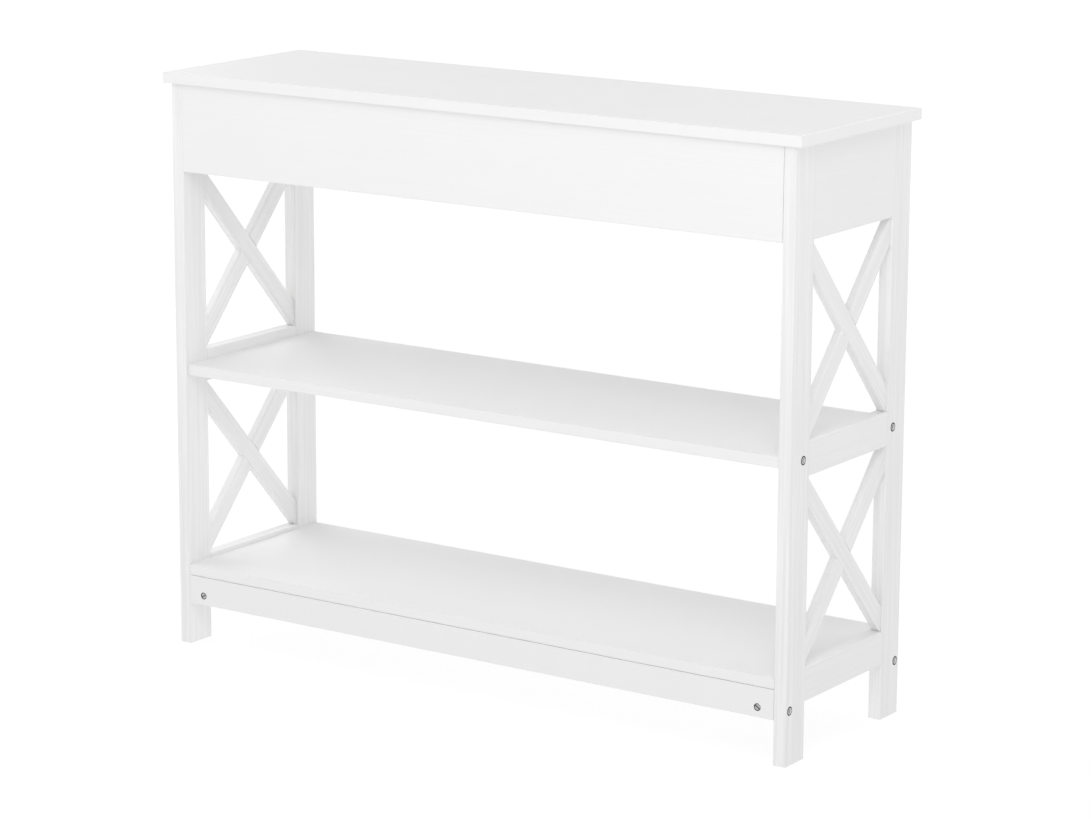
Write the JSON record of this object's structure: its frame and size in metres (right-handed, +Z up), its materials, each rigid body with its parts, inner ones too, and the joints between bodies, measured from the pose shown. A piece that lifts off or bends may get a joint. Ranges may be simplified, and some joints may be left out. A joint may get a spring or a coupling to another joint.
{
  "type": "console table",
  "caption": "Narrow white console table with a deep apron, open shelves and X-braced ends, bolted together.",
  "frame": {"origin": "on the floor, under the middle of the table", "axes": "+X along the table to its right end, +Y to its rear, +Z up; the front faces -Y"},
  "size_m": [1, 0.3, 0.8],
  "materials": {
    "white_board": "white laminated fibreboard, satin, with a very fine print grain",
    "white_frame": "white paint on fibreboard, satin, with light roller texture",
    "zinc_plated_steel": "zinc-plated steel, dull",
    "zinc_alloy": "die-cast zinc, dull grey",
    "beech": "raw beech"
  },
  "bodies": {
    "root": {"bottom_shelf": "white_board", "front_apron": "white_board", "front_left_apron_cam_bolt": "zinc_plated_steel", "front_left_apron_cam_disc": "zinc_alloy", "front_left_leg": "white_frame", "front_left_shelf_bolt": "zinc_plated_steel", "front_left_shelf_nut": "zinc_alloy", "front_left_stretcher_bolt": "zinc_plated_steel", "front_left_stretcher_nut": "zinc_alloy", "front_left_top_cam_bolt": "zinc_plated_steel", "front_left_top_cam_disc": "zinc_alloy", "front_right_apron_cam_bolt": "zinc_plated_steel", "front_right_apron_cam_disc": "zinc_alloy", "front_right_leg": "white_frame", "front_right_shelf_bolt": "zinc_plated_steel", "front_right_shelf_nut": "zinc_alloy", "front_right_stretcher_bolt": "zinc_plated_steel", "front_right_stretcher_nut": "zinc_alloy", "front_right_top_cam_bolt": "zinc_plated_steel", "front_right_top_cam_disc": "zinc_alloy", "front_shelf_dowel": "beech", "front_stretcher": "white_frame", "left_end_panel": "white_frame", "left_lower_brace_falling": "white_frame", "left_lower_brace_rising": "white_frame", "left_lower_rail": "white_frame", "left_middle_rail": "white_frame", "left_upper_brace_falling": "white_frame", "left_upper_brace_rising": "white_frame", "middle_shelf": "white_board", "rear_apron": "white_board", "rear_left_apron_cam_bolt": "zinc_plated_steel", "rear_left_apron_cam_disc": "zinc_alloy", "rear_left_leg": "white_frame", "rear_left_shelf_bolt": "zinc_plated_steel", "rear_left_shelf_nut": "zinc_alloy", "rear_left_stretcher_bolt": "zinc_plated_steel", "rear_left_stretcher_nut": "zinc_alloy", "rear_left_top_cam_bolt": "zinc_plated_steel", "rear_left_top_cam_disc": "zinc_alloy", "rear_right_apron_cam_bolt": "zinc_plated_steel", "rear_right_apron_cam_disc": "zinc_alloy", "rear_right_leg": "white_frame", "rear_right_shelf_bolt": "zinc_plated_steel", "rear_right_shelf_nut": "zinc_alloy", "rear_right_stretcher_bolt": "zinc_plated_steel", "rear_right_stretcher_nut": "zinc_alloy", "rear_right_top_cam_bolt": "zinc_plated_steel", "rear_right_top_cam_disc": "zinc_alloy", "rear_shelf_dowel": "beech", "rear_stretcher": "white_frame", "right_end_panel": "white_frame", "right_lower_brace_falling": "white_frame", "right_lower_brace_rising": "white_frame", "right_lower_rail": "white_frame", "right_middle_rail": "white_frame", "right_upper_brace_falling": "white_frame", "right_upper_brace_rising": "white_frame", "table_top": "white_board"}
  },
  "joints": []
}
